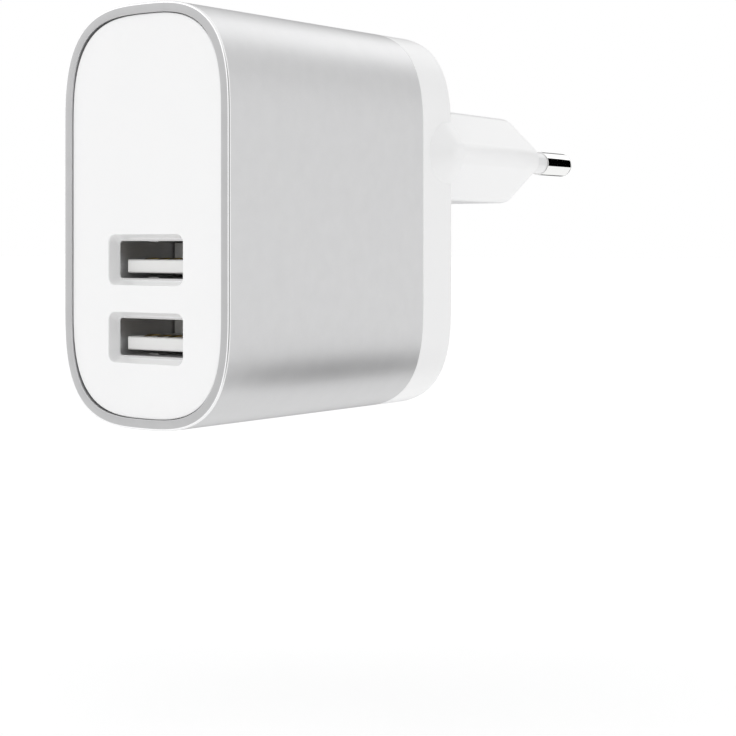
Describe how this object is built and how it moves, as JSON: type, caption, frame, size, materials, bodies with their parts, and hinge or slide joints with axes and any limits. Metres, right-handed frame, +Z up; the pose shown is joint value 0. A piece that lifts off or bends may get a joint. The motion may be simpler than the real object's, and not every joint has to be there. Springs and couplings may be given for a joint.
{
  "type": "usb wall charger",
  "caption": "USB mains charger with a tall rounded metal sleeve, white end covers, stacked USB ports and a fixed flat two-pin plug.",
  "frame": {"origin": "middle of the plug's end face, midway between the two pins where they leave it", "axes": "+Y out along the pins towards the wall socket, +Z up along the tall body, ports face -Y"},
  "size_m": [0.0354, 0.0986, 0.0578],
  "materials": {
    "cover_plastic": "fine satin gloss, moulded white",
    "anodised_metal": "bead blasted and anodised silver, with a bright cut edge",
    "housing_plastic": "moulded matt off-white",
    "pin_metal": "nickel plated brass, polished",
    "collar_plastic": "moulded matt white",
    "brass_strip": "stamped strip",
    "circuit_board": "green solder mask over glass laminate",
    "solder": "soft bright solder",
    "port_steel": "nickel plated sheet",
    "port_plastic": "moulded matt white",
    "contact_gold": "gold plated spring strip",
    "ferrite": "ground dark grey ferrite",
    "black_plastic": "moulded black",
    "winding_tape": "yellow polyester tape over copper",
    "capacitor_wrap": "dark blue shrink sleeve",
    "capacitor_can": "bare drawn can",
    "enamelled_copper": "enamelled wire",
    "chip_black": "moulded black epoxy",
    "fuse_brown": "moulded brown case",
    "film_capacitor": "potted yellow box",
    "disc_blue": "dipped blue epoxy",
    "disc_green": "dipped green epoxy",
    "heatsink_aluminium": "bare sheared sheet",
    "optocoupler_white": "moulded white epoxy",
    "chip_ceramic": "fired ceramic",
    "insulating_film": "folded clear yellow film"
  },
  "bodies": {
    "root": {"front_cover": "cover_plastic", "sleeve": "anodised_metal", "inner_housing": "housing_plastic", "rear_cover": "cover_plastic", "plug_pin_left": "pin_metal", "plug_pin_right": "pin_metal", "pin_collar_left": "collar_plastic", "pin_collar_right": "collar_plastic", "pin_clamp": "housing_plastic", "pin_lead_left": "brass_strip", "pin_lead_right": "brass_strip", "main_board": "circuit_board", "usb_board": "circuit_board", "board_header": "solder", "upper_port_shell": "port_steel", "lower_port_shell": "port_steel", "upper_port_insulator": "port_plastic", "lower_port_insulator": "port_plastic", "upper_port_tails": "contact_gold", "lower_port_tails": "contact_gold", "transformer_core": "ferrite", "transformer_bobbin": "black_plastic", "transformer_winding": "winding_tape", "bulk_capacitors": "capacitor_wrap", "output_capacitors": "capacitor_can", "choke_core": "ferrite", "choke_winding": "enamelled_copper", "bridge_rectifier": "chip_black", "fuse": "fuse_brown", "x_capacitor": "film_capacitor", "y_capacitor": "disc_blue", "thermistor": "disc_green", "switch_transistor": "chip_black", "primary_heatsink": "heatsink_aluminium", "output_rectifier": "chip_black", "secondary_heatsink": "heatsink_aluminium", "optocoupler": "optocoupler_white", "power_controller": "chip_black", "usb_controller": "chip_black", "chip_parts": "chip_ceramic", "solder_joints": "solder", "insulation_sheet": "insulating_film"},
    "upper_contact_1": {"upper_contact_1": "contact_gold"},
    "upper_contact_2": {"upper_contact_2": "contact_gold"},
    "upper_contact_3": {"upper_contact_3": "contact_gold"},
    "upper_contact_4": {"upper_contact_4": "contact_gold"},
    "lower_contact_1": {"lower_contact_1": "contact_gold"},
    "lower_contact_2": {"lower_contact_2": "contact_gold"},
    "lower_contact_3": {"lower_contact_3": "contact_gold"},
    "lower_contact_4": {"lower_contact_4": "contact_gold"}
  },
  "joints": [
    {"name": "upper_contact_1_flex", "type": "hinge", "parent": "root", "child": "upper_contact_1", "pos_m": [-0.0035, -0.0667, -0.01653], "axis": [1, 0, 0], "range_deg": [0, 3], "stiffness_Nm_per_rad": 0.086},
    {"name": "upper_contact_2_flex", "type": "hinge", "parent": "root", "child": "upper_contact_2", "pos_m": [-0.001, -0.0667, -0.01653], "axis": [1, 0, 0], "range_deg": [0, 3], "stiffness_Nm_per_rad": 0.086},
    {"name": "upper_contact_3_flex", "type": "hinge", "parent": "root", "child": "upper_contact_3", "pos_m": [0.001, -0.0667, -0.01653], "axis": [1, 0, 0], "range_deg": [0, 3], "stiffness_Nm_per_rad": 0.086},
    {"name": "upper_contact_4_flex", "type": "hinge", "parent": "root", "child": "upper_contact_4", "pos_m": [0.0035, -0.0667, -0.01653], "axis": [1, 0, 0], "range_deg": [0, 3], "stiffness_Nm_per_rad": 0.086},
    {"name": "lower_contact_1_flex", "type": "hinge", "parent": "root", "child": "lower_contact_1", "pos_m": [-0.0035, -0.0667, -0.02713], "axis": [1, 0, 0], "range_deg": [0, 3], "stiffness_Nm_per_rad": 0.086},
    {"name": "lower_contact_2_flex", "type": "hinge", "parent": "root", "child": "lower_contact_2", "pos_m": [-0.001, -0.0667, -0.02713], "axis": [1, 0, 0], "range_deg": [0, 3], "stiffness_Nm_per_rad": 0.086},
    {"name": "lower_contact_3_flex", "type": "hinge", "parent": "root", "child": "lower_contact_3", "pos_m": [0.001, -0.0667, -0.02713], "axis": [1, 0, 0], "range_deg": [0, 3], "stiffness_Nm_per_rad": 0.086},
    {"name": "lower_contact_4_flex", "type": "hinge", "parent": "root", "child": "lower_contact_4", "pos_m": [0.0035, -0.0667, -0.02713], "axis": [1, 0, 0], "range_deg": [0, 3], "stiffness_Nm_per_rad": 0.086}
  ]
}
